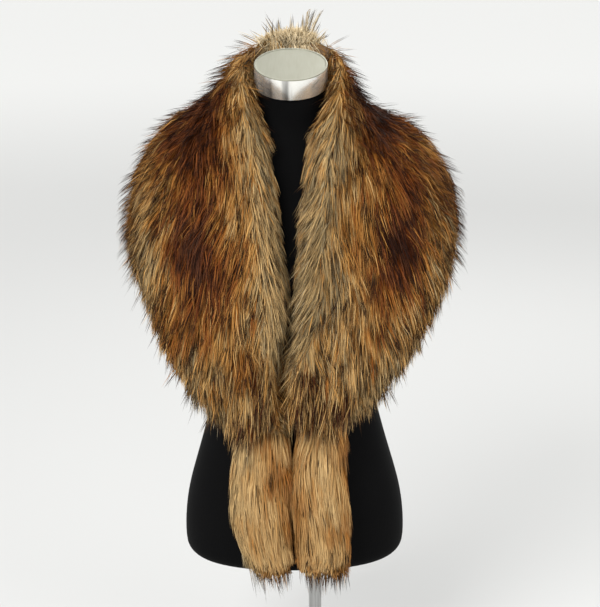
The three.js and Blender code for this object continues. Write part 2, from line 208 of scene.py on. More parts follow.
# Kinds of wisp: how many are on a side, how deep their roots lie, their share of dark tips, the
# hairs in each, how far those spread at the root, and how much they droop
WISPS = {
    "outer": {"count": 1500, "sunk": 0.007, "dark": 0.92, "hairs": 4, "spread": 0.0020, "droop": 0.10},
    "edge": {"count": 260, "sunk": 0.004, "dark": 0.70, "hairs": 9, "spread": 0.0042, "droop": 0.05},
    "fringe": {"count": 140, "sunk": 0.003, "dark": 0.55, "hairs": 9, "spread": 0.0048, "droop": 0.0},
    "closing": {"count": 120, "sunk": 0.008, "dark": 0.30, "hairs": 8, "spread": 0.0045, "droop": 0.04},
    "crossing": {"count": 90, "sunk": 0.004, "dark": 0.25, "hairs": 4, "spread": 0.0018, "droop": 0.35},
    "nape": {"count": 600, "sunk": 0.012, "dark": 0.0, "hairs": 5, "spread": 0.005, "droop": 0.0},
    "nape_point": {"sunk": 0.006, "dark": 0.5, "spread": 0.003, "droop": 0.0},
    "tail": {"count": 190, "sunk": 0.008, "dark": 0.9, "hairs": 4, "spread": 0.0022, "droop": 0.05},
}

# The long points behind the neck cap: place across, lean to the side, length, and hairs in each
NAPE_COLUMNS = ("x", "lean", "length", "hairs")
NAPE_POINTS = (
    (-0.040, -2.40, 0.050, 5),
    (-0.034, -1.60, 0.036, 5),
    (-0.024, -0.90, 0.036, 6),
    (-0.017, -0.50, 0.050, 8),
    (-0.012, -0.30, 0.032, 8),
    (-0.004, 0.10, 0.040, 7),
    (0.008, 0.05, 0.028, 8),
    (0.015, 0.12, 0.040, 10),
    (0.019, 0.22, 0.064, 12),
    (0.020, 0.40, 0.058, 12),
    (0.023, 0.52, 0.062, 9),
    (0.028, 0.60, 0.040, 8),
    (0.036, 0.95, 0.030, 6),
)

# The fur's UV map holds every shade side by side, twice over, the second time with dark tips
UV_SHADES = 0.484
UV_MARGIN = 0.008
UV_SIDE = 0.0035


def smoothstep(value, low, high):
    share = np.clip((value - low) / (high - low), 0, 1)
    return share * share * (3 - 2 * share)


def unit(vectors):
    return vectors / np.maximum(np.linalg.norm(vectors, axis=-1, keepdims=True), 1e-9)


def between_rows(places, values, at):
    """The values at places between rows, on a smooth curve through them."""
    places, values, at = np.asarray(places, float), np.asarray(values, float), np.atleast_1d(at)
    order = np.arange(len(places))
    before, after = np.maximum(order - 1, 0), np.minimum(order + 1, len(places) - 1)
    column = (-1,) + (1,) * (values.ndim - 1)
    slope = (values[after] - values[before]) / (places[after] - places[before]).reshape(column)
    i = np.clip(np.searchsorted(places, at, side="right") - 1, 0, len(places) - 2)
    span = (places[i + 1] - places[i]).reshape(column)
    w = np.clip((at - places[i]).reshape(column) / span, 0, 1)
    start = (1 + 2 * w) * (1 - w) ** 2 * values[i] + w * (1 - w) ** 2 * span * slope[i]
    return start + w * w * (3 - 2 * w) * values[i + 1] + w * w * (w - 1) * span * slope[i + 1]


class Nap:
    """A surface that fur lies on, as a grid of points over two places, with its normals."""

    def __init__(self, first, second, points, turn, wraps=False):
        self.first, self.second, self.wraps = first, second, wraps
        by_first = np.gradient(points, first, axis=0)
        by_second = np.gradient(points, second, axis=1)
        normal = turn * np.cross(by_first, by_second)
        area = np.linalg.norm(normal, axis=-1)
        normal = unit(normal)
        for _ in range(2 if wraps else 0):
            normal = unit((normal + np.roll(normal, 1, 1) + np.roll(normal, -1, 1)) / 3)
        self.area = area
        self.grid = np.concatenate((points, normal, by_first, by_second), axis=-1)

    def at(self, a, c):
        """Point, normal and the two directions at places between the grid's."""
        if self.wraps:
            a = np.mod(a - self.first[0], self.first[-1] - self.first[0]) + self.first[0]
        i = np.clip((a - self.first[0]) / (self.first[1] - self.first[0]), 0, len(self.first) - 1.001)
        j = np.clip((c - self.second[0]) / (self.second[1] - self.second[0]), 0, len(self.second) - 1.001)
        i0, j0 = i.astype(int), j.astype(int)
        u, v = (i - i0)[:, None], (j - j0)[:, None]
        g = self.grid
        mixed = (1 - u) * ((1 - v) * g[i0, j0] + v * g[i0, j0 + 1])
        mixed += u * ((1 - v) * g[i0 + 1, j0] + v * g[i0 + 1, j0 + 1])
        return mixed[:, 0:3], unit(mixed[:, 3:6]), mixed[:, 6:9], mixed[:, 9:12]

    def scatter(self, rng, count, weight):
        """Places spread over the surface by area, thicker where weight is greater."""
        a, c = np.meshgrid(self.first, self.second, indexing="ij")
        chance = (self.area * weight(a, c)).ravel()
        pick = rng.choice(chance.size, count, p=chance / chance.sum())
        i, j = np.unravel_index(pick, a.shape)
        step_a, step_c = self.first[1] - self.first[0], self.second[1] - self.second[0]
        a = self.first[i] + (rng.random(count) - 0.5) * step_a
        c = self.second[j] + (rng.random(count) - 0.5) * step_c
        return np.clip(a, self.first[0], self.first[-1]), np.clip(c, self.second[0], self.second[-1])


def panel_nap(name):
    """The outer face of one half of the collar, carried on past its edge and its front end."""
    half = HALVES[name]
    rows = np.array(PANEL_ROWS, float)
    along = np.linspace(0, 1, 201)
    across = np.linspace(0, 1, 161)
    at = dict(zip(PANEL_COLUMNS[1:], between_rows(rows[:, 0], rows[:, 1:], along).T))
    low = smoothstep(along, 0.45, 0.9)
    closing = 1 - half["close"] * smoothstep(along, 0.36, 0.46)
    foot = np.stack((at["footX"] * closing, at["footY"], at["footUp"]), axis=-1)
    crest = np.stack((at["crestX"], at["crestY"], at["crestUp"]), axis=-1)
    spread = 1 + (half["spread"] - 1) * low
    edge = np.stack((at["edgeX"] * spread, at["edgeY"], at["edgeUp"] - half["hang"] * low), axis=-1)
    face, lift = np.radians(at["face"]), np.radians(at["lift"])
    facing = np.stack((np.sin(face) * np.cos(lift), np.cos(face) * np.cos(lift), np.sin(lift)), axis=-1)
    stand = facing * at["swell"][:, None]

    def flank(share, swell):
        return crest + (edge - crest) * share + stand * swell

    points = between_rows(
        ACROSS,
        np.stack((
            foot, crest, flank(FLANK["valley"], half["valley"]), flank(FLANK["middle"], half["middle"]),
            flank(FLANK["lower"], LOWER_SWELL), edge,
        )),
        across,
    ).transpose(1, 0, 2)  # fmt: skip
    points[..., 0] = half["sign"] * np.maximum(points[..., 0], 0.3)
    up = points[..., 2]
    share = smoothstep(up, LEAN["from"], LEAN["peak"]) * (1 - smoothstep(up, LEAN["fading"], LEAN["gone"]))
    points[..., 0] += LEAN["shift"] * share * np.exp(-((points[..., 0] / LEAN["width"]) ** 2))
    points = points * MM + (0, 0, UNDERSIDE)

    past = np.arange(1, 49)[:, None, None] * (across[1] - across[0])
    outward = (points[:, -1] - points[:, -14]) / (across[-1] - across[-14])
    outward = unit(outward) * np.clip(np.linalg.norm(outward, axis=-1, keepdims=True), 0.15, 0.4)
    hanging = points[:, -1] + outward * past + np.array((0, 0, -0.55)) * past**2
    points = np.concatenate((points, hanging.transpose(1, 0, 2)), axis=1)
    past = np.arange(1, 31)[:, None, None] * (along[1] - along[0])
    below = points[-1] + np.array((0, 0, -1.0)) * past
    points = np.concatenate((points, below), axis=0)
    along = np.arange(len(points)) * (along[1] - along[0])
    across = np.arange(points.shape[1]) * (across[1] - across[0])
    nap = Nap(along, across, points, half["sign"])
    nap.facing = np.stack((half["sign"] * facing[:, 0], facing[:, 1], facing[:, 2]), axis=-1)
    return nap


def tail_nap(name):
    """The outer face of a tail, a flat tube, carried on past its end."""
    rows = np.array(TAIL_ROWS[name], float)
    form = np.array(FORM_ROWS, float)
    turn = np.linspace(0, 2 * math.pi, 97)
    down = np.linspace(-0.12, 1.3, 143)
    x, half, depth = between_rows(rows[:, 0], rows[:, 1:], np.clip(down, 0, 1)).T
    narrowing = 1 - 0.55 * smoothstep(down, 0.98, 1.3)
    half, depth = half * narrowing, depth * narrowing
    up = TAIL_TOP + (TAIL_END - TAIL_TOP) * down
    front = between_rows(form[:, 0], form[:, 2], np.maximum(up, 0)) + 0.7
    points = np.stack((
        x + half * np.cos(turn)[:, None],
        -front - depth + depth * np.sin(turn)[:, None],
        up + 0 * turn[:, None],
    ), axis=-1)  # fmt: skip
    return Nap(turn, down, points * MM + (0, 0, UNDERSIDE), -1, wraps=True)


def waves(places, size, seed, count=9):
    """Smooth uneven values of about -1 to 1 over places in space, with patches of that size."""
    rng = np.random.default_rng(seed)
    ways = unit(rng.normal(size=(count, 3))) * (2 * math.pi / size) * rng.uniform(0.6, 1.5, (count, 1))
    phase = rng.uniform(0, 2 * math.pi, count)
    return np.sin(places @ ways.T + phase).sum(axis=1) / math.sqrt(count / 2) / 1.6


def comb(nap, a, c, reach, way, veer, steps=6):
    """Runs each hair over the surface for its reach. Way gives where it wants to go, and veer turns it."""
    run, normals, places = [], [], []
    most_a, most_c = 0.05 * 6 / steps, 0.08 * 6 / steps
    for k in range(steps + 1):
        point, normal, by_a, by_c = nap.at(a, c)
        run.append(point)
        normals.append(normal)
        places.append((a, c))
        if k == steps:
            break
        goal = way(point, normal, by_a, by_c, a, c)
        goal = unit(goal - (goal * normal).sum(1, keepdims=True) * normal)
        goal = goal * np.cos(veer)[:, None] + np.cross(normal, goal) * np.sin(veer)[:, None]
        aa, ac, cc = (by_a * by_a).sum(1), (by_a * by_c).sum(1), (by_c * by_c).sum(1)
        ga, gc = (goal * by_a).sum(1), (goal * by_c).sum(1)
        whole = np.maximum(aa * cc - ac * ac, 1e-9)
        stride = reach / steps
        a = a + np.clip((ga * cc - gc * ac) / whole * stride, -most_a, most_a)
        c = c + np.clip((gc * aa - ga * ac) / whole * stride, -most_c, most_c)
        if not nap.wraps:
            a = np.clip(a, 0, nap.first[-1])
        c = np.clip(c, nap.second[0], nap.second[-1])
    return np.array(run), np.array(normals), places


def trimmed(nap, a, c, reach, way, veer, edge, end):
    """The reach of each hair, cut back where it would run past its limits at the edge and the end."""
    for _ in range(2):
        a_end, c_end = comb(nap, a, c, reach, way, veer, 3)[2][-1]
        share = np.where(c_end > edge, (edge - c) / np.maximum(c_end - c, 1e-6), 1)
        if not nap.wraps:
            share = np.minimum(share, np.where(a_end > end, (end - a) / np.maximum(a_end - a, 1e-6), 1))
        reach = reach * np.clip(share, 0.3, 1)
    return reach


def lay(run, normals, depth, over, rise_power=2.3):
    """Lifts combed hairs from the backing cloth up to the face, or over it at their tips."""
    s = np.linspace(0, 1, len(run))[:, None]
    below = depth * (1 - s) ** rise_power - over * s**1.3
    return run - normals * below[..., None]


def nearest(points, roots):
    tree = kdtree.KDTree(len(points))
    for i, point in enumerate(points):
        tree.insert(point, i)
    tree.balance()
    return np.array([tree.find(root)[1] for root in roots])


def gather(hairs, guides, group, strength, power=1.4):
    """Draws each hair's tip towards its lock's."""
    s = np.linspace(0, 1, len(hairs))[:, None]
    pull = (strength * s**power)[..., None]
    return hairs + (guides[:, group] - hairs) * pull


def ribbons(name, hairs, normals, width, roll, shade, dark, stretches=3):
    """Joins all hairs of a piece in one mesh: each a thin ribbon to a point, with its shade as UV."""
    picks = np.linspace(0, len(hairs) - 1, stretches + 1).astype(int)
    line, normal = hairs[picks], normals[picks]
    count, each = line.shape[1], 2 * stretches + 1
    tangent = unit(np.gradient(line, axis=0))
    across = unit(np.cross(tangent, normal))
    over = np.cross(across, tangent)
    across = across * np.cos(roll)[:, None] + over * np.sin(roll)[:, None]
    s = np.linspace(0, 1, stretches + 1)
    taper = np.interp(s[:-1], (0, 0.33, 0.67), (0.6, 1.0, 0.85))[:, None, None]
    half = across[:-1] * taper * width[:, None] / 2
    vertices = np.empty((count, each, 3), np.float32)
    vertices[:, 0:-1:2] = (line[:-1] - half).transpose(1, 0, 2)
    vertices[:, 1:-1:2] = (line[:-1] + half).transpose(1, 0, 2)
    vertices[:, -1] = line[-1]
    quads = [(k, k + 1, k + 3, k + 2) for k in range(0, each - 3, 2)]
    corner = np.concatenate((*quads, (each - 3, each - 2, each - 1))).astype(int)
    place = np.repeat(s, 2)[:-1]
    side = np.array((-1, 1) * stretches + (0,)) * UV_SIDE
    column = np.where(dark, 0.5, 0) + np.clip(shade, 0, 1) * UV_SHADES + UV_MARGIN
    up_map = np.broadcast_to(0.01 + 0.98 * place, (count, each))
    uv = np.stack((column[:, None] + side, up_map), axis=-1)[:, corner]
    mesh = bpy.data.meshes.new(name)
    mesh.vertices.add(count * each)
    mesh.vertices.foreach_set("co", vertices.ravel())
    mesh.loops.add(count * len(corner))
    index = (corner + each * np.arange(count)[:, None]).ravel()
    mesh.loops.foreach_set("vertex_index", index.astype(np.int32))
    mesh.polygons.add(count * stretches)
    starts = (4 * np.arange(stretches) + len(corner) * np.arange(count)[:, None]).ravel().astype(np.int32)
    mesh.polygons.foreach_set("loop_start", starts)
    mesh.update(calc_edges=True)
    for layer in ("fur", "OFBake"):
        mesh.uv_layers.new(name=layer, do_init=False).data.foreach_set("uv", uv.ravel().astype(np.float32))
    mesh.polygons.foreach_set("use_smooth", np.ones(count * stretches, bool))
    mesh.validate()
    return linked(name, mesh)


def linked(name, mesh):
    piece = bpy.data.objects.new(name, mesh)
    bpy.context.scene.collection.objects.link(piece)
    return piece


def keep_in(points):
    """Holds stray tips inside the room that the fur may take."""
    low, high = np.array(CAD_BOX[0]), np.array(CAD_BOX[1])
    spare = (high - low) * 0.03 + 0.007
    slack = 0.004
    top, bottom = high + spare - slack, low - spare + slack
    over, under = np.maximum(points - top, 0), np.maximum(bottom - points, 0)
    return points - over + slack * np.tanh(over / slack) + under - slack * np.tanh(under / slack)


def clear_of_form(points, gap=0.0012):
    """Moves hair that would pass through the dress form or its cap out to their surfaces."""
    rows = np.array(FORM_ROWS, float) * (MM, MM, MM, MM, MM, math.pi / 180)
    flat = points.reshape(-1, 3).copy()
    up = flat[:, 2] - UNDERSIDE
    for _ in range(3):
        half, front, back, shift, tilt = between_rows(rows[:, 0], rows[:, 1:], up).T
        up = flat[:, 2] - UNDERSIDE - (flat[:, 1] - shift) * np.tan(tilt)
    y = (flat[:, 1] - shift) / np.cos(tilt)
    depth = np.where(y < 0, front, back) + gap
    across, along = np.abs(flat[:, 0] / (half + gap)), np.abs(y / depth)
    inside = (across**RING_POWER + along**RING_POWER) ** (1 / RING_POWER)
    push = np.where((inside < 1) & (up > 0) & (up < 0.737), 1 / np.maximum(inside, 0.3), 1)
    flat[:, 0] *= push
    flat[:, 1] += y * (push - 1) * np.cos(tilt)
    lean = math.radians(CAP["tilt"])
    axis = np.array((0, -math.sin(lean), math.cos(lean)))
    away = flat - (0, CAP["y"], UNDERSIDE + CAP["up"])
    height = away @ axis
    spoke = away - height[:, None] * axis
    radius = np.linalg.norm(spoke, axis=1)
    beside = (height > -0.004) & (height < CAP["height"] + 0.001) & (radius < CAP["radius"] + gap)
    flat += spoke * (beside * ((CAP["radius"] + gap) / np.maximum(radius, 0.01) - 1))[:, None]
    return flat.reshape(points.shape)


# Combing and shading the panels


def panel_way(sign):
    """Where the fur of a panel wants to go: down, out over the flank, and in over the opening."""

    def way(point, normal, by_a, by_c, a, c):
        outward = unit(by_c)
        behind = np.interp(c, (0, 0.17, 0.35, 1), (1.3, 0.9, 0.35, 0.45))
        before = np.interp(c, (0, 0.12, 0.30, 0.42, 0.7, 1), (-0.10, -0.10, -0.04, 0.16, 0.34, 0.5))
        before = before * (1 - 0.55 * smoothstep(a, 0.6, 0.9))
        inward = 0.42 if sign > 0 else 0.16
        before = before - inward * smoothstep(a, 0.55, 0.7) * (1 - smoothstep(c, 0.1, 0.36))
        front = smoothstep(a, 0.26, 0.42)
        out = behind * (1 - front) + before * front
        onward = 2.2 * smoothstep(a, 0.10, 0.24) * (1 - smoothstep(a, 0.5, 0.64))
        onward = onward * (1 - smoothstep(c, 0.26, 0.5))
        return np.array((0, 0, -1.0)) + outward * out[:, None] + unit(by_a) * onward[:, None]

    return way


def panel_shade(points, a, c, seed):
    """The shade of the coat at each root, from 0, near black, to 1, cream."""
    shade = np.interp(c, (0, 0.12, 0.24, 0.34, 0.6, 0.85, 1), (0.84, 0.88, 0.81, 0.61, 0.49, 0.62, 0.74))
    paler = np.where(points[:, 0] > 0, 0.19, 0.13)
    shade = shade + paler * smoothstep(a, 0.58, 0.76) * smoothstep(c, 0.25, 0.4)
    neck = 1 - smoothstep(a, 0.36, 0.46)
    round_neck = np.interp(c, (0, 0.14, 0.26, 0.38, 1), (0.46, 0.52, 0.64, 0.5, 0.46))
    shade = shade * (1 - neck * 0.7) + neck * 0.7 * round_neck
    nape = 1 - smoothstep(a, 0.055, 0.125)
    nape = nape * smoothstep(0.42 - c, 0, 0.12)
    shade = shade * (1 - nape) + nape
    shade = shade + 0.16 * waves(points, 0.13, seed) * smoothstep(c, 0.2, 0.4)
    front = smoothstep(-points[:, 1], -0.07, 0.0)
    for spot in SPOTS:
        s = dict(zip(SPOT_COLUMNS, spot))
        far = ((points[:, 0] - s["x"]) / s["wide"]) ** 2 + ((points[:, 2] - s["z"]) / s["high"]) ** 2
        pull = s["pull"] * np.exp(-far) * front
        shade = shade + (s["shade"] - shade) * pull
    back = 1 - front
    dark = smoothstep(waves(points, 0.16, seed + 7), 0.25, 0.9) * back * smoothstep(c, 0.25, 0.5)
    return shade * (1 - 0.75 * dark)


def locks_of(nap, way, seed, count, weight, reach, patch, spread):
    """Guides for locks or tufts: where each runs, and its own length, lift, flare, shade and tips."""
    rng = np.random.default_rng(seed)
    a, c = nap.scatter(rng, count, weight)
    root = nap.at(a, c)[0]
    guide = {
        "root": root,
        "veer": 0.24 * waves(root, patch, seed + 1) + rng.normal(0, 0.16, count),
        "lift": rng.normal(0, 0.004, count),
        "flare": (rng.random(count) < 0.38) * rng.uniform(0.003, 0.017, count),
        "shade": rng.normal(0, spread["shade"], count),
        "draw": rng.random(count),
        "edge": rng.normal(*spread["edge"], count),
        "end": 0.985 + 0.018 * waves(root, 0.05, seed + 2) + rng.normal(0, 0.012, count),
    }
    wanted = reach(a, c) * np.exp(rng.normal(0, 0.18, count))
    guide["reach"] = wanted
    cut = trimmed(nap, a, c, wanted, way, guide["veer"], guide["edge"], guide["end"])
    guide["run"], guide["normals"] = comb(nap, a, c, cut, way, guide["veer"])[:2]
    return guide


def coat(name, fur):
    """One layer of fur: hairs combed over the surface, drawn into tufts and locks, and joined."""
    nap, way, locks, tufts = fur["nap"], fur["way"], fur["locks"], fur["tufts"]
    rng, count = np.random.default_rng(fur["seed"]), fur["count"]
    a, c = nap.scatter(rng, count, fur["weight"])
    root = nap.at(a, c)[0]
    lock, tuft = nearest(locks["root"], root), nearest(tufts["root"], root)
    veer = 0.5 * locks["veer"][lock] + 0.5 * tufts["veer"][tuft] + rng.normal(0, 0.08, count)
    reach = locks["reach"][lock] * fur["reach"] * np.exp(rng.normal(0, 0.12, count))
    edge = 0.5 * (locks["edge"][lock] + tufts["edge"][tuft]) + rng.normal(0, 0.008, count)
    reach = trimmed(nap, a, c, reach, way, veer, edge, locks["end"][lock])
    run, normals, places = comb(nap, a, c, reach, way, veer)
    base = fur["over"](rng, a, c, count)
    flare = tufts["flare"][tuft] * fur["flare"](a, c)
    hairs = lay(run, normals, fur["depth"](a, c), base + locks["lift"][lock] + flare)
    middle = np.median(base)
    tuft_rise = tufts["lift"] + middle + np.bincount(tuft, flare, len(tufts["root"])) / np.maximum(
        np.bincount(tuft, minlength=len(tufts["root"])), 1)
    tuft_line = lay(tufts["run"], tufts["normals"], np.full(len(tufts["root"]), 0.02), tuft_rise)
    lock_line = lay(locks["run"], locks["normals"], np.full(len(locks["root"]), 0.02), locks["lift"] + middle)
    hairs = gather(hairs, tuft_line, tuft, fur["pulls"][0] * rng.uniform(0.5, 1.15, count))
    hairs = gather(hairs, lock_line, lock, fur["pulls"][1] * rng.uniform(0.4, 1.2, count), 1.8)
    hairs = keep_in(clear_of_form(hairs))
    onward = unit(run[-1] - run[0]) * rng.normal(0, fur["drift"], len(tufts["root"]))[tuft, None]
    shade = fur["shade"](run[5] + onward, *places[5])
    palest = np.maximum(shade, 0.9)
    uneven = locks["shade"][lock] + tufts["shade"][tuft] + rng.normal(0, fur["grain"], count)
    shade = np.minimum(shade + uneven * (0.3 + np.clip(shade, 0, 1)), palest)
    dark_tuft = tufts["draw"][tuft] * np.where(flare > 0.004, 0.6, 1.15) < fur["tips"](*places[5])
    tipped = rng.random(count) < np.where(dark_tuft, 0.9, fur["strays"])
    width = fur["width"] * np.exp(rng.normal(0, 0.22, count))
    return ribbons(name, hairs, normals, width, rng.normal(0, 0.6, count), shade, tipped, fur["stretches"])


def loose_points(rng, root, normal, heading, length, shade, kind):
    """Pointed wisps that leave the coat: a few hairs each, spread at the root and joined at the tip."""
    s = np.linspace(0, 1, 7)[:, None, None]
    wisp = np.repeat(np.arange(len(root)), kind["hairs"])
    count = len(wisp)
    start = root[wisp] + rng.normal(0, 1, (count, 3)) * kind["spread"]
    long = (length[wisp] * rng.uniform(0.72, 1.0, count))[:, None]
    aim = root[wisp] + heading[wisp] * length[wisp][:, None]
    ahead = unit(heading[wisp] + rng.normal(0, 0.10, (count, 3)))
    line = start + ahead * long * s
    line = line + ((aim - start) * long / length[wisp][:, None] - ahead * long) * (0.75 * s**1.5)
    line = line + np.array((0, 0, -1.0)) * (kind["droop"] * long) * s**2
    tone = np.broadcast_to(shade, len(root))[wisp] + rng.normal(0, 0.05, count)
    return line, np.broadcast_to(normal[wisp], line.shape), tone, rng.random(count) < kind["dark"]


def joined_wisps(name, rng, groups, width):
    """Joins groups of loose points in one piece."""
    lines, normals = (np.concatenate([group[k] for group in groups], axis=1) for k in (0, 1))
    tones, tipped = (np.concatenate([group[k] for group in groups]) for k in (2, 3))
    lines = keep_in(clear_of_form(lines))
    count = lines.shape[1]
    size = width * np.exp(rng.normal(0, 0.2, count))
    return ribbons(name, lines, normals, size, rng.normal(0, 0.6, count), tones, tipped)


# Materials


class Shades:
    """Nodes of one material, wired in the order that they are made."""

    def __init__(self, name):
        self.material = bpy.data.materials.new(name)
        self.material.use_nodes = True
        self.nodes = self.material.node_tree.nodes
        self.links = self.material.node_tree.links
        self.surface = self.nodes["Principled BSDF"]

    def node(self, kind, **settings):
        made = self.nodes.new(kind)
        for key, value in settings.items():
            setattr(made, key, value)
        return made

    def join(self, source, target):
        self.links.new(source, target)

    def sum(self, operation, *values, clamp=False):
        made = self.node("ShaderNodeMath", operation=operation, use_clamp=clamp)
        for socket, value in zip(made.inputs, values):
            if isinstance(value, (int, float)):
                socket.default_value = value
            else:
                self.join(value, socket)
        return made.outputs[0]

    def ramp(self, value, stops, interpolation="LINEAR"):
        made = self.node("ShaderNodeValToRGB")
        made.color_ramp.interpolation = interpolation
        elements = made.color_ramp.elements
        while len(elements) < len(stops):
            elements.new(0.5)
        for element, (place, color) in zip(elements, stops):
            element.position = place
            element.color = (*color, 1) if len(color) == 3 else color
        self.join(value, made.inputs[0])
        return made.outputs[0]

    def mix(self, share, first, second, blend="MIX"):
        made = self.node("ShaderNodeMix", data_type="RGBA", blend_type=blend)
        for socket, value in ((made.inputs[0], share), (made.inputs[6], first), (made.inputs[7], second)):
            if isinstance(value, (int, float)):
                socket.default_value = value
            elif isinstance(value, tuple):
                socket.default_value = (*value, 1)
            else:
                self.join(value, socket)
        return made.outputs[2]

    def separate(self, vector):
        made = self.node("ShaderNodeSeparateXYZ")
        self.join(vector, made.inputs[0])
        return made.outputs

    def objects(self, scale=(1, 1, 1)):
        place = self.node("ShaderNodeTexCoord")
        mapping = self.node("ShaderNodeMapping")
        mapping.inputs["Scale"].default_value = scale
        self.join(place.outputs["Object"], mapping.inputs["Vector"])
        return mapping.outputs[0]

    def noise(self, vector, scale, detail=4.0, roughness=0.55):
        made = self.node("ShaderNodeTexNoise")
        made.inputs["Scale"].default_value = scale
        made.inputs["Detail"].default_value = detail
        made.inputs["Roughness"].default_value = roughness
        self.join(vector, made.inputs["Vector"])
        return made.outputs["Fac"]

    def bump(self, height, strength, distance):
        made = self.node("ShaderNodeBump")
        made.inputs["Strength"].default_value = strength
        made.inputs["Distance"].default_value = distance
        self.join(height, made.inputs["Height"])
        self.join(made.outputs[0], self.surface.inputs["Normal"])

    def finish(self, color, values):
        """Wires the colour, sets the surface's own values, and gives the material."""
        self.join(color, self.surface.inputs["Base Color"])
        for socket, value in values.items():
            self.surface.inputs[socket].default_value = value
        return self.material


def dimmed(color, share):
    return tuple(share * part for part in color)


def fur_finish(name, colors, tip_color, pale):
    """Fur: shade across the UV map, root to tip up it, with painted shade darker at the roots, and dark tips
    on its upper half.
    """
    s = Shades(name)
    uv = s.node("ShaderNodeUVMap", uv_map="fur")
    u, v = s.separate(uv.outputs[0])[:2]
    tipped = s.sum("GREATER_THAN", u, 0.5)
    shade = s.sum("FRACT", s.sum("MULTIPLY", u, 2))
    stops = (0.0, 0.14, 0.30, 0.46, 0.60, 0.74, 0.87, 1.0)
    color = s.ramp(shade, tuple(zip(stops, colors)))
    # Darker towards the roots: painted shade deep in the pile
    root = s.ramp(v, ((0.0, (0.42,) * 3), (0.45, (0.86,) * 3), (0.8, (1.0,) * 3)))
    color = s.mix(1.0, color, root, "MULTIPLY")
    paling = s.sum("MULTIPLY", s.ramp(v, ((0.55, (0,) * 3), (1.0, (1,) * 3))), pale)
    color = s.mix(paling, color, (0.75, 0.60, 0.40))
    darken = s.sum("MULTIPLY", s.ramp(v, ((0.32, (0,) * 3), (0.66, (0.97,) * 3))), tipped)
    color = s.mix(darken, color, tip_color)
    return s.finish(color, {"Roughness": 0.6, "Specular IOR Level": 0.06})


def jersey_finish(color):
    """Black stretch jersey: fine knitted ribs and a soft sheen at the sides."""
    s = Shades("black_jersey")
    place = s.objects()
    x, y, z = s.separate(place)
    turn = s.sum("MULTIPLY", s.sum("ARCTAN2", y, x), 150)
    rib = s.sum("ABSOLUTE", s.sum("SINE", turn))
    row = s.sum("ABSOLUTE", s.sum("SINE", s.sum("MULTIPLY", z, 2400)))
    knit = s.sum("MULTIPLY", rib, row)
    cloudy = s.noise(place, 9, 3)
    tone = s.sum("ADD", s.sum("MULTIPLY", knit, 0.35), s.sum("MULTIPLY", cloudy, 0.5))
    s.bump(knit, 0.25, 0.0004)
    return s.finish(s.ramp(tone, ((0.15, color), (0.9, dimmed(color, 2.6)))), {
        "Roughness": 0.82, "Specular IOR Level": 0.05, "Sheen Weight": 0.01, "Sheen Roughness": 0.4,
    })  # fmt: skip


def chrome_finish(color):
    """The neck cap: a polished band with painted reflections, dark and bright streaks up and down, and a
    satin top.
    """
    s = Shades("neck_cap_chrome")
    turned = s.objects()
    # the cap leans, so its own height is read along the leaning axis
    lean = math.radians(CAP["tilt"])
    axis = s.node("ShaderNodeVectorMath", operation="DOT_PRODUCT")
    s.join(turned, axis.inputs[0])
    axis.inputs[1].default_value = (0, -math.sin(lean), math.cos(lean))
    base = (UNDERSIDE + CAP["up"]) * math.cos(lean) - CAP["y"] * math.sin(lean)
    height = s.sum("SUBTRACT", axis.outputs["Value"], base)
    # Streaks up and down the band, dimmed to near black in places: painted reflections
    streaks = s.noise(s.objects((42, 16, 0.6)), 1.0, 3, 0.5)
    band = s.ramp(streaks, ((0.36, dimmed(color, 0.16)), (0.45, dimmed(color, 0.55)), (0.56, color)))
    on_top = s.sum("GREATER_THAN", height, CAP["height"] - 0.0012)
    satin = (0.25, 0.245, 0.185)
    fine = s.noise(s.objects((260, 30, 30)), 1.0, 2)
    top = s.mix(s.sum("MULTIPLY", fine, 0.5), satin, (0.36, 0.36, 0.29))
    s.join(s.ramp(on_top, ((0.0, (0.24,) * 3), (1.0, (0.42,) * 3))), s.surface.inputs["Roughness"])
    s.bump(fine, 0.05, 0.0002)
    return s.finish(s.mix(on_top, band, top), {"Metallic": 0.8})


def steel_finish(name, color, grain):
    """Brushed steel, streaked along its grain."""
    s = Shades(name)
    streaks = s.noise(s.objects(grain), 1.0, 5, 0.6)
    s.join(s.ramp(streaks, ((0.2, (0.24,) * 3), (0.8, (0.38,) * 3))), s.surface.inputs["Roughness"])
    s.bump(streaks, 0.06, 0.0003)
    return s.finish(s.ramp(streaks, ((0.3, dimmed(color, 0.55)), (0.7, color))), {"Metallic": 1.0})


def backing_finish(color):
    """The knitted back of the fur cloth."""
    s = Shades("knitted_backing")
    place = s.objects()
    mesh = s.node("ShaderNodeTexVoronoi")
    mesh.inputs["Scale"].default_value = 900
    s.join(place, mesh.inputs["Vector"])
    loops = mesh.outputs["Distance"]
    uneven = s.noise(place, 40, 3)
    tone = s.sum("ADD", s.sum("MULTIPLY", loops, 0.5), s.sum("MULTIPLY", uneven, 0.5))
    s.bump(loops, 0.3, 0.0005)
    return s.finish(s.ramp(tone, ((0.2, dimmed(color, 0.55)), (0.8, color))), {"Roughness": 0.92})


def floor_finish(color):
    """A pale floor, painted a little darker near the middle: painted shade that evens out the pool of the
    lamps' light.
    """
    s = Shades("studio_floor")
    away = s.node("ShaderNodeVectorMath", operation="LENGTH")
    s.join(s.objects(), away.inputs[0])
    # Darker near the middle, lighter far off: painted shade against the lamps' pool of light
    share = s.sum("DIVIDE", away.outputs["Value"], 12.0, clamp=True)
    return s.finish(s.ramp(share, ((0.08, dimmed(color, 0.60)), (0.75, color)), "EASE"), {
        "Roughness": 0.9, "Specular IOR Level": 0.1,
        "Emission Color": (1, 1, 1, 1), "Emission Strength": 0.10,
    })  # fmt: skip


def dress(piece, material):
    piece.data.materials.clear()
    piece.data.materials.append(material)


def settle(piece, material, slot):
    """Dresses a piece and lets it ride with the object. Its slot is not used."""
    dress(piece, material)
    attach(piece, "root")


# Working on a piece


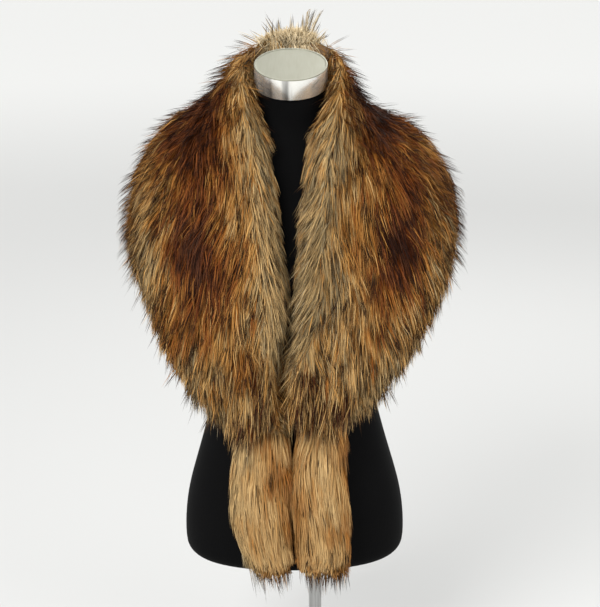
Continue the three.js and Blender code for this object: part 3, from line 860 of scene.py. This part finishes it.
def only(piece=None):
    """Leaves edit mode and selects this piece alone, or nothing."""
    if bpy.context.object and bpy.context.object.mode != "OBJECT":
        bpy.ops.object.mode_set(mode="OBJECT")
    bpy.ops.object.select_all(action="DESELECT")
    if piece:
        piece.select_set(True)
        bpy.context.view_layer.objects.active = piece


def pick_faces(piece, keep):
    """In edit mode, selects the faces whose middle and normal pass the test."""
    bpy.ops.mesh.select_mode(type="FACE")
    mesh = bmesh.from_edit_mesh(piece.data)
    bpy.ops.mesh.select_all(action="DESELECT")
    for face in mesh.faces:
        face.select_set(bool(keep(face.calc_center_median(), face.normal)))
    bmesh.update_edit_mesh(piece.data)


def cylinder(vertices, radius, low, high, x=0):
    """A standing cylinder between two heights."""
    only()
    bpy.ops.mesh.primitive_cylinder_add(
        vertices=vertices, radius=radius, depth=high - low, location=(x, 0, (low + high) / 2))
    return bpy.context.object


def bevel(width):
    """The modifier that rounds sharp edges by that width."""
    return "BEVEL", {"width": width, "segments": 3, "limit_method": "ANGLE", "angle_limit": SHARP}


def raise_by(height):
    bpy.ops.mesh.extrude_region_move(TRANSFORM_OT_translate={"value": (0, 0, height)})


def finished(piece, name, *modifiers):
    """Names the piece, applies its place and its modifiers, and shades it smooth."""
    only(piece)
    piece.name = piece.data.name = name
    bpy.ops.object.transform_apply(location=True, rotation=True, scale=True)
    for kind, settings in modifiers:
        added = piece.modifiers.new(kind.title(), kind)
        for key, value in settings.items():
            setattr(added, key, value)
        bpy.ops.object.modifier_apply(modifier=added.name)
    bpy.ops.object.shade_smooth_by_angle(angle=math.radians(32))
    only()
    return piece


# Properties


def color_property(name, description, default):
    return bpy.props.FloatVectorProperty(
        name=name, description=description, subtype="COLOR", size=3, min=0, max=1, default=default)


def length_property(name, description, default, low, high):
    return bpy.props.FloatProperty(
        name=name, description=description, subtype="DISTANCE", unit="LENGTH",
        default=default, min=low, max=high)


def number_property(name, description, default, high, **kind):
    return bpy.props.FloatProperty(
        name=name, description=description, default=default, min=0, max=high, **kind)


class CollarWrapFur(bpy.types.PropertyGroup):
    guard_reach: length_property("Guard hair", "How far a long hair lies along the coat", 0.086, 0.02, 0.12)
    tail_reach: length_property("Tail hair", "How far a hair lies along a tail", 0.080, 0.02, 0.12)
    guard_width: length_property("Hair width", "Width of a long hair's ribbon", 0.00092, 0.0003, 0.003)
    under_width: length_property(
        "Undercoat width", "Width of a soft underhair's ribbon", 0.0016, 0.0005, 0.004)
    black: color_property("Near black", "The darkest fur", (0.011, 0.004, 0.002))
    bark: color_property("Dark brown", "Shaded patches", (0.052, 0.011, 0.003))
    rust: color_property("Red brown", "Rich middle fur", (0.190, 0.047, 0.007))
    copper: color_property("Orange brown", "Flank fur", (0.335, 0.134, 0.024))
    gold: color_property("Gold", "Bright bands", (0.490, 0.256, 0.070))
    honey: color_property("Honey", "Deeper bands of the tails", (0.420, 0.235, 0.080))
    tan: color_property("Tan", "Pale bands", (0.550, 0.365, 0.160))
    stone: color_property("Grey beige", "Inner lapels", (0.215, 0.150, 0.066))
    cream: color_property("Cream", "The palest fluff", (0.900, 0.740, 0.480))
    tips: color_property("Tips", "Dark tips of the long hairs", (0.014, 0.005, 0.003))
    backing: color_property("Backing", "Knitted back of the fur cloth", (0.200, 0.120, 0.060))


class CollarWrapForm(bpy.types.PropertyGroup):
    jersey: color_property("Jersey", "Cover of the dress form", (0.0015, 0.0015, 0.0016))
    chrome: color_property("Neck cap", "Polished band of the neck cap", (0.86, 0.85, 0.81))
    steel: color_property("Stand", "Pole and foot", (0.52, 0.52, 0.51))


class CollarWrapStudio(bpy.types.PropertyGroup):
    floor: color_property("Floor", "Studio floor", (0.90, 0.90, 0.885))
    room: color_property("Room", "Light from all round", (0.965, 0.97, 0.965))
    room_light: number_property("Room light", "Strength of the light from all round", 0.90, 3)
    key: number_property("Key light", "Power of the main light", 110, 1000, subtype="POWER", unit="POWER")
    fill: number_property("Fill light", "Power of the side light", 28, 1000, subtype="POWER", unit="POWER")


# Operators


class CollarWrapStage(bpy.types.Operator):
    """Makes the pale floor, the soft lights and the camera"""

    bl_idname = "collar_wrap.stage"
    bl_label = "Studio"

    def execute(self, context):
        setup = context.scene.collar_wrap_studio
        context.scene.view_settings.view_transform = "Standard"
        only()
        bpy.ops.mesh.primitive_grid_add(x_subdivisions=8, y_subdivisions=8, size=90, location=(0, 0, -0.0005))
        floor = bpy.context.object
        finished(floor, "studio_floor")
        dress(floor, floor_finish(tuple(setup.floor)))
        world = bpy.data.worlds.new("studio_room")
        context.scene.world = world
        world.use_nodes = True
        light_all_round = world.node_tree.nodes["Background"].inputs
        light_all_round["Color"].default_value = (*setup.room, 1)
        light_all_round["Strength"].default_value = setup.room_light
        for name, place, size, power in (
            ("key_light", (-1.5, -2.6, 2.5), 1.8, setup.key),
            ("fill_light", (2.3, -1.9, 1.5), 1.8, setup.fill),
            ("rim_light", (0.6, 2.2, 2.4), 1.6, setup.fill),
        ):
            light = bpy.data.lights.new(name, "AREA")
            light.shape, light.size, light.energy = "DISK", size, power
            lamp = bpy.data.objects.new(name, light)
            lamp.location = place
            lamp.rotation_euler = (Vector(place) - Vector((0, 0, 0.75))).to_track_quat("Z", "Y").to_euler()
            context.scene.collection.objects.link(lamp)
        camera = bpy.data.cameras.new("photo_camera")
        camera.lens, camera.sensor_width, camera.clip_end = CAMERA["lens"], CAMERA["sensor"], 200
        held = bpy.data.objects.new("photo_camera", camera)
        tipped = Euler((math.radians(90 - CAMERA["down"]), 0, 0)).to_matrix()
        turned = tipped @ Matrix.Rotation(math.radians(CAMERA["roll"]), 3, "Z")
        held.matrix_world = Matrix.Translation(CAMERA["place"]) @ turned.to_4x4()
        context.scene.collection.objects.link(held)
        context.scene.camera = held
        return {"FINISHED"}


class CollarWrapTorso(bpy.types.Operator):
    """Makes the dress form's torso under its jersey"""

    bl_idname = "collar_wrap.torso"
    bl_label = "Torso"

    def execute(self, context):
        only()
        torso = linked("jersey_torso", frame["nodes"]["form_body"].data.copy())
        only(torso)
        bpy.ops.object.mode_set(mode="EDIT")
        bpy.ops.mesh.select_all(action="SELECT")
        bpy.ops.mesh.remove_doubles(threshold=0.00002)
        bpy.ops.mesh.tris_convert_to_quads(face_threshold=0.9, shape_threshold=0.9)
        bpy.ops.object.mode_set(mode="OBJECT")
        mesh = bmesh.new()
        mesh.from_mesh(torso.data)
        crease = mesh.edges.layers.float.new("crease_edge")
        for edge in mesh.edges:
            if len(edge.link_faces) == 2 and edge.calc_face_angle(0) > SHARP:
                edge[crease] = 1
        mesh.to_mesh(torso.data)
        mesh.free()
        finished(torso, "jersey_torso", ("SUBSURF", {"levels": 1, "render_levels": 1}))
        settle(torso, jersey_finish(tuple(context.scene.collar_wrap_form.jersey)), "jersey")
        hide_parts("form_body")
        return {"FINISHED"}


class CollarWrapMetalwork(bpy.types.Operator):
    """Makes the neck cap, the pole and the foot"""

    bl_idname = "collar_wrap.metalwork"
    bl_label = "Neck Cap and Stand"

    def execute(self, context):
        form = context.scene.collar_wrap_form
        cap = cylinder(128, CAP["radius"], 0, CAP["height"])
        bpy.ops.object.mode_set(mode="EDIT")
        pick_faces(cap, lambda middle, normal: normal.z > 0.9)
        bpy.ops.mesh.inset(thickness=CAP["rim"])
        raise_by(-CAP["dish"])
        bpy.ops.mesh.inset(thickness=CAP["step"])
        bpy.ops.object.mode_set(mode="OBJECT")
        only(cap)
        bpy.ops.object.transform_apply(location=True)
        cap.rotation_euler = (math.radians(CAP["tilt"]), 0, 0)
        cap.location = (0, CAP["y"], UNDERSIDE + CAP["up"])
        finished(cap, "neck_cap", bevel(0.0014))
        settle(cap, chrome_finish(tuple(form.chrome)), "cap_metal")
        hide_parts("form_neck_cap")

        bottom, top = FOOT["thickness"] + FOOT["gap"], UNDERSIDE + POLE["grip"]
        pole = cylinder(64, POLE["radius"], bottom, top, POLE["x"])
        finished(pole, "stand_pole", bevel(0.0008))
        settle(pole, steel_finish("pole_steel", tuple(form.steel), (420, 420, 2.5)), "stand_metal")
        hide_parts("form_pole")

        foot = cylinder(128, FOOT["radius"], 0, FOOT["thickness"])
        bpy.ops.object.mode_set(mode="EDIT")
        pick_faces(foot, lambda middle, normal: normal.z > 0.9)
        bpy.ops.mesh.inset(thickness=FOOT["radius"] - FOOT["hub"] - FOOT["fillet"])
        raise_by(FOOT["fillet"])
        shrink = FOOT["hub"] / (FOOT["hub"] + FOOT["fillet"])
        bpy.ops.transform.resize(value=(shrink, shrink, 1), center_override=(0, 0, 0))
        raise_by(FOOT["hub_height"] - FOOT["thickness"] - FOOT["fillet"])
        bpy.ops.mesh.inset(thickness=FOOT["hub"] - POLE["radius"] - FOOT["gap"])
        raise_by(FOOT["thickness"] - FOOT["hub_height"])
        bpy.ops.object.mode_set(mode="OBJECT")
        foot.location.x = POLE["x"]
        finished(foot, "stand_foot", bevel(0.0008))
        settle(foot, steel_finish("foot_steel", tuple(form.steel), (30, 260, 30)), "stand_metal")
        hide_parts("form_foot")
        return {"FINISHED"}


def fur_shades(fur):
    colors = (fur.black, fur.bark, fur.rust, fur.copper, fur.gold, fur.tan, fur.stone, fur.cream)
    return tuple(tuple(color) for color in colors)


def panel_wisps(name, nap, way, sign, seed, width, share):
    """Points that stand off the flank and edge, that close over the centre, and that cross the opening."""
    rng = np.random.default_rng(seed)
    groups = []

    def roots(kind, a, c):
        point, normal, by_a, by_c = nap.at(a, c)
        return point - normal * WISPS[kind]["sunk"], normal, unit(by_a), unit(by_c)

    def flow(a, c):
        return unit(way(*nap.at(a, c), a, c))

    def add(kind, root, normal, heading, length, shade):
        groups.append(loose_points(rng, root, normal, heading, length, shade, WISPS[kind]))

    def outer(a, c):
        edge = smoothstep(c, 0.66, 0.86) * 1.6 + 0.3
        shoulder = (a > 0.14) * (a < 0.46) * smoothstep(c, 0.22, 0.4) * 2.0
        roll = (a > 0.06) * (a < 0.42) * np.exp(-(((c - 0.24) / 0.1) ** 2)) * 3.0
        return (a <= 0.99) * (c <= 0.93) * (edge + shoulder + roll)

    count = int(WISPS["outer"]["count"] * share)
    a, c = nap.scatter(rng, count, outer)
    root, normal, _, _ = roots("outer", a, c)
    heading = flow(a, c)
    side = np.cross(normal, heading)
    stand = (rng.uniform(0.2, 0.85, count) + 0.55 * (1 - smoothstep(a, 0.38, 0.5)))[:, None]
    heading = unit(heading + normal * stand + side * rng.normal(0, 0.16, (count, 1)))
    length = rng.uniform(0.026, 0.056, count) * (1 - 0.3 * smoothstep(a, 0.85, 1))
    shade = panel_shade(root + heading * length[:, None], a, c, seed) * 0.8
    add("outer", root, normal, heading, length, shade)

    count = int(WISPS["edge"]["count"] * share)
    a, c = rng.uniform(0.34, 1.0, count), rng.uniform(0.82, 0.92, count)
    root, normal, _, _ = roots("edge", a, c)
    heading = flow(a, c) * 0.6 + (0, 0, -0.6) + normal * 0.12
    heading = unit(heading + rng.normal(0, 0.09, (count, 3)))
    length = rng.uniform(0.022, 0.050, count) * (1 - 0.35 * smoothstep(a, 0.85, 1))
    shade = panel_shade(root + heading * length[:, None], a, c, seed)
    add("edge", root, normal, heading, length, shade)

    count = int(WISPS["fringe"]["count"] * share)
    a, c = rng.uniform(0.885, 0.965, count), rng.uniform(0.1, 0.72, count)
    root, normal, _, _ = roots("fringe", a, c)
    heading = unit(np.array((-0.06, -0.34, -1.0)) + rng.normal(0, 0.10, (count, 3)))
    length = rng.uniform(0.036, 0.075, count)
    shade = np.where(rng.random(count) < 0.4, 0.12, 0.66) + rng.normal(0, 0.05, count)
    add("fringe", root, normal, heading, length, shade)

    count = int(WISPS["closing"]["count"] * share)
    a, c = rng.uniform(0.56, 0.96, count), rng.uniform(0.07, 0.26, count)
    root, normal, along, _ = roots("closing", a, c)
    cross = (0.46 if sign > 0 else 0.12) * (1 - 0.6 * smoothstep(a, 0.86, 1)) * rng.uniform(0.5, 1.25, count)
    heading = unit(along + normal * 0.22 + np.array((-sign, 0, 0)) * cross[:, None])
    length = rng.uniform(0.045, 0.072, count)
    add("closing", root, normal, heading, length, panel_shade(root, a, c, seed))

    count = int(WISPS["crossing"]["count"] * share)
    a, c = rng.uniform(0.34, 0.62, count), rng.uniform(0.03, 0.12, count)
    root, normal, along, outward = roots("crossing", a, c)
    heading = unit(along * 0.7 - outward * rng.uniform(0.5, 1.1, (count, 1)) + normal * 0.25)
    length = rng.uniform(0.016, 0.034, count)
    add("crossing", root, normal, heading, length, 0.84)
    return joined_wisps(f"panel_wisps_{name}", rng, groups, width)


def nape_fluff(name, nap, sign, seed, width, share):
    """Pale fluff that stands up behind the neck cap, with a few long dark-tipped points."""
    rng = np.random.default_rng(seed)
    kind = WISPS["nape"]
    count = int(kind["count"] * share)
    a, c = np.abs(rng.normal(0, 0.036, count)), rng.uniform(0.08, 0.24, count)
    point, normal, _, _ = nap.at(a, c)
    heading = unit(rng.normal(0, 0.5, (count, 3)) + (0, 0.2, 1.0) + point * (14, 0, 0))
    length = rng.uniform(0.012, 0.026, count)
    groups = [loose_points(rng, point - normal * kind["sunk"], normal, heading, length, 0.98, kind)]
    for row in (dict(zip(NAPE_COLUMNS, row)) for row in NAPE_POINTS if row[0] * sign > 0):
        kind = WISPS["nape_point"] | {"hairs": row["hairs"]}
        point, normal, _, _ = nap.at(np.full(1, abs(row["x"]) * 2.25), np.array((0.15,)))
        heading = unit(np.array(((row["lean"], 0.1, 1.0),)) + rng.normal(0, 0.06, (1, 3)))
        root, length = point - normal * kind["sunk"], np.full(1, row["length"])
        groups.append(loose_points(rng, root, normal, heading, length, 0.93, kind))
    return joined_wisps(f"nape_fluff_{name}", rng, groups, width)


class CollarWrapPanelFur(bpy.types.Operator):
    """Makes the undercoat, the guard hair and the loose wisps of both collar panels"""

    bl_idname = "collar_wrap.panel_fur"
    bl_label = "Panel Fur"

    def execute(self, context):
        settings = context.scene.collar_wrap_fur
        shades = fur_shades(settings)
        guard_finish = fur_finish("panel_guard_hair", shades, tuple(settings.tips), 0.04)
        under_finish = fur_finish("panel_undercoat", shades, tuple(settings.tips), 0.0)
        share = 1.0
        places, depths = np.array(BACKING_DEPTH).T

        def weight(a, c):
            room = (a <= 1) * (c <= BACKING_END) * (c >= 0.01)
            return room * (1 + 0.5 * (c < 0.3) + 0.6 * (c > 0.8)) * np.where(a < 0.22, 0.7, 1)

        def reach(a, c):
            return settings.guard_reach * np.interp(c, (0, 0.15, 0.35, 1), (0.62, 0.7, 1.0, 1.05))

        def over_guard(rng, a, c, count):
            beside_cap = (1 - smoothstep(a, 0.36, 0.44)) * (1 - smoothstep(c, 0.14, 0.24))
            return rng.normal(0.001, 0.003, count) + beside_cap * rng.uniform(0.002, 0.014, count)

        def over_under(rng, a, c, count):
            return rng.normal(-0.006, 0.003, count)

        for number, name in enumerate(SIDES):
            seed = 11 + 100 * number
            nap = panel_nap(name)
            sign = HALVES[name]["sign"]
            way = panel_way(sign)
            locks, tufts = (
                locks_of(nap, way, seed + k, PANEL_COUNTS[kind], weight, reach, 0.12, spread)
                for k, (kind, spread) in enumerate((
                    ("locks", {"shade": 0.06, "edge": (0.965, 0.045)}),
                    ("tufts", {"shade": 0.11, "edge": (0.965, 0.035)}),
                ))
            )
            fur = {
                "nap": nap, "way": way, "weight": weight, "locks": locks, "tufts": tufts,
                "depth": lambda a, c: np.interp(c, places, depths) * MM,
                "shade": lambda points, a, c: panel_shade(points, a, c, 5 + number),
                "flare": lambda a, c: 0.25 + 0.75 * smoothstep(c, 0.2, 0.45),
                "drift": 0.016,
            }  # fmt: skip
            under = coat(f"panel_undercoat_{name}", fur | {
                "seed": seed + 2, "count": int(PANEL_COUNTS["undercoat"] * share), "reach": 0.8,
                "over": over_under, "width": settings.under_width, "grain": 0.03,
                "tips": lambda a, c: 0 * a, "pulls": (0.35, 0.3),
                "strays": 0, "stretches": 2,
            })  # fmt: skip
            guard = coat(f"panel_guard_hair_{name}", fur | {
                "seed": seed + 3, "count": int(PANEL_COUNTS["guard"] * share), "reach": 1.0,
                "over": over_guard, "width": settings.guard_width, "grain": 0.08, "pulls": (0.66, 0.42),
                "strays": 0.12, "stretches": 3,
                "tips": lambda a, c: np.interp(c, (0, 0.2, 0.36, 0.75, 1), (0.13, 0.17, 0.24, 0.25, 0.25))
                * (1 - 0.9 * (a < 0.1) * (c < 0.4) + 0.25 * smoothstep(a, 0.6, 0.8)),
            })  # fmt: skip
            wisps = panel_wisps(name, nap, way, sign, seed + 4, settings.guard_width * 0.8, share)
            nape = nape_fluff(name, nap, sign, seed + 5, settings.guard_width * 0.9, share)
            settle(under, under_finish, "panel_fur")
            for piece in (guard, wisps, nape):
                settle(piece, guard_finish, "panel_fur")
            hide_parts(f"collar_panel_{name}")
        return {"FINISHED"}


class CollarWrapTailFur(bpy.types.Operator):
    """Makes the fur of both tails"""

    bl_idname = "collar_wrap.tail_fur"
    bl_label = "Tail Fur"

    def execute(self, context):
        settings = context.scene.collar_wrap_fur
        shades = list(fur_shades(settings))
        shades[4] = tuple(settings.honey)
        finish = fur_finish("tail_fur", shades, tuple(settings.tips), 0.08)
        share = 1.0

        def way(point, normal, by_a, by_c, a, c):
            return unit(by_c)

        def weight(a, c):
            return (c <= 0.93) * np.where(np.sin(a) > 0.5, 0.5, 1.0) * (1 + 0.5 * (c > 0.7))

        def reach(a, c):
            return settings.tail_reach + 0 * a

        for number, name in enumerate(SIDES):
            seed = 411 + 100 * number
            nap = tail_nap(name)

            def shade(points, a, c):
                side = np.cos(a)
                edge = -side if name == "left" else 0.35 - np.abs(side)
                return 0.63 + 0.09 * waves(points, 0.06, 30 + number) + 0.15 * np.clip(edge, -0.6, 1)

            locks, tufts = (
                locks_of(nap, way, seed + k, TAIL_COUNTS[kind], weight, reach, 0.1, spread)
                for k, (kind, spread) in enumerate((
                    ("locks", {"shade": 0.045, "edge": (0.875, 0.025)}),
                    ("tufts", {"shade": 0.025, "edge": (0.885, 0.025)}),
                ))
            )
            fur = {
                "nap": nap, "way": way, "weight": weight, "shade": shade, "locks": locks, "tufts": tufts,
                "depth": lambda a, c: 0.017 + 0 * a,
                "flare": lambda a, c: 0.3 + 0 * a,
                "drift": 0.006,
            }  # fmt: skip
            piece = coat(f"tail_fur_{name}", fur | {
                "seed": seed + 2, "count": int(TAIL_COUNTS["hairs"] * share), "reach": 1.0,
                "grain": 0.024, "pulls": (0.45, 0.4),
                "over": lambda rng, a, c, count: rng.normal(-0.001, 0.0025, count),
                "width": settings.guard_width * 1.15, "tips": lambda a, c: 0.02 + 0.2 * smoothstep(c, 0.8, 1),
                "strays": 0.05, "stretches": 3,
            })  # fmt: skip
            rng = np.random.default_rng(seed + 3)
            kind = WISPS["tail"]
            count = int(kind["count"] * share)
            a, c = nap.scatter(rng, count, lambda a, c: (c <= 0.88) * (0.5 + 6 * (c > 0.78)))
            point, normal, _, by_c = nap.at(a, c)
            heading = unit(by_c) + normal * rng.uniform(-0.1, 0.22, (count, 1))
            heading = unit(heading + rng.normal(0, 0.09, (count, 3)))
            length = rng.uniform(0.03, 0.055, count) + 0.015 * (c > 0.78)
            tone = shade(point, a, c) - 0.1
            group = loose_points(rng, point - normal * kind["sunk"], normal, heading, length, tone, kind)
            wisps = joined_wisps(f"tail_wisps_{name}", rng, [group], settings.guard_width * 0.75)
            for made in (piece, wisps):
                settle(made, finish, "tail_fur")
            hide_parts(f"collar_tail_{name}")
        return {"FINISHED"}


def sheet_mesh(name, points, wraps):
    """A sheet from a grid of points."""
    rows, columns = points.shape[:2]
    index = np.arange(rows * columns).reshape(rows, columns)
    if wraps:
        index = np.concatenate((index, index[:1]), axis=0)
    quads = np.stack((index[:-1, :-1], index[1:, :-1], index[1:, 1:], index[:-1, 1:]), axis=-1).reshape(-1, 4)
    mesh = bpy.data.meshes.new(name)
    mesh.from_pydata(points.reshape(-1, 3).tolist(), [], quads.tolist())
    mesh.update()
    return linked(name, mesh)


def backing(name, points, wraps, finish, slot):
    """One backing cloth, given its thickness about a grid of points."""
    piece = sheet_mesh(name, points, wraps)
    finished(piece, name, ("SOLIDIFY", {"thickness": BACKING_WALL, "offset": 0}))
    settle(piece, finish, slot)
    return piece


class CollarWrapBacking(bpy.types.Operator):
    """Makes the knitted backing cloth that the fur grows from"""

    bl_idname = "collar_wrap.backing"
    bl_label = "Backing Cloth"

    def execute(self, context):
        finish = backing_finish(tuple(context.scene.collar_wrap_fur.backing))
        places, depths = np.array(BACKING_DEPTH).T
        for name in SIDES:
            nap = panel_nap(name)
            a, c = np.meshgrid(np.linspace(0, 1, 73), np.linspace(0.01, BACKING_END, 37), indexing="ij")
            point, normal, _, _ = nap.at(a.ravel(), c.ravel())
            along = np.linspace(0, 1, len(nap.facing))
            steady = np.stack([np.interp(a.ravel(), along, nap.facing[:, k]) for k in range(3)], axis=-1)
            blend = (smoothstep(a, 0.4, 0.6) * smoothstep(c, 0.2, 0.35)).ravel()[:, None]
            inward = unit(normal * (1 - blend) + steady * blend)
            point = point - inward * (np.interp(c.ravel(), places, depths) * MM)[:, None]
            point = point.reshape(*a.shape, 3)
            piece = backing(f"backing_panel_{name}", point, False, finish, "panel_fur")
            coats = [
                bpy.data.objects[f"panel_{kind}_{name}"] for kind in ("undercoat", "guard_hair", "wisps")
            ]
            coats.append(bpy.data.objects[f"nape_fluff_{name}"])
        for name in SIDES:
            nap = tail_nap(name)
            turn = np.linspace(0, 2 * math.pi, 49)[:-1]
            a, c = np.meshgrid(turn, np.linspace(0.01, 0.97, 33), indexing="ij")
            point, normal, _, _ = nap.at(a.ravel(), c.ravel())
            point = (point - normal * TAIL_PILE).reshape(*a.shape, 3)
            piece = backing(f"backing_tail_{name}", point, True, finish, "tail_fur")
            coats = [bpy.data.objects[f"tail_{kind}_{name}"] for kind in ("fur", "wisps")]
        return {"FINISHED"}


class CollarWrapPanel(bpy.types.Panel):
    """The wrap's pieces, in the order that they are made"""

    bl_idname = "VIEW3D_PT_collar_wrap"
    bl_label = "Fur Collar Wrap"
    bl_space_type = "VIEW_3D"
    bl_region_type = "UI"
    bl_category = "Collar Wrap"

    def draw(self, context):
        for name in GROUPS:
            group = getattr(context.scene, f"collar_wrap_{name}")
            box = self.layout.box()
            for setting in group.__annotations__:
                box.prop(group, setting)
        for step in STEPS:
            self.layout.operator(step.bl_idname)


GROUPS = {"fur": CollarWrapFur, "form": CollarWrapForm, "studio": CollarWrapStudio}
STEPS = (
    CollarWrapStage, CollarWrapTorso, CollarWrapMetalwork, CollarWrapPanelFur, CollarWrapTailFur,
    CollarWrapBacking,
)  # fmt: skip


def register():
    for made in (*GROUPS.values(), *STEPS, CollarWrapPanel):
        bpy.utils.register_class(made)
    for name, group in GROUPS.items():
        setattr(bpy.types.Scene, f"collar_wrap_{name}", bpy.props.PointerProperty(type=group))


def unregister():
    for name in GROUPS:
        delattr(bpy.types.Scene, f"collar_wrap_{name}")
    for made in reversed((*GROUPS.values(), *STEPS, CollarWrapPanel)):
        bpy.utils.unregister_class(made)


def main():
    register()
    bpy.ops.collar_wrap.stage()
    bpy.ops.collar_wrap.torso()
    bpy.ops.collar_wrap.metalwork()
    bpy.ops.collar_wrap.panel_fur()
    bpy.ops.collar_wrap.tail_fur()
    bpy.ops.collar_wrap.backing()


if __name__ == "__main__":
    main()
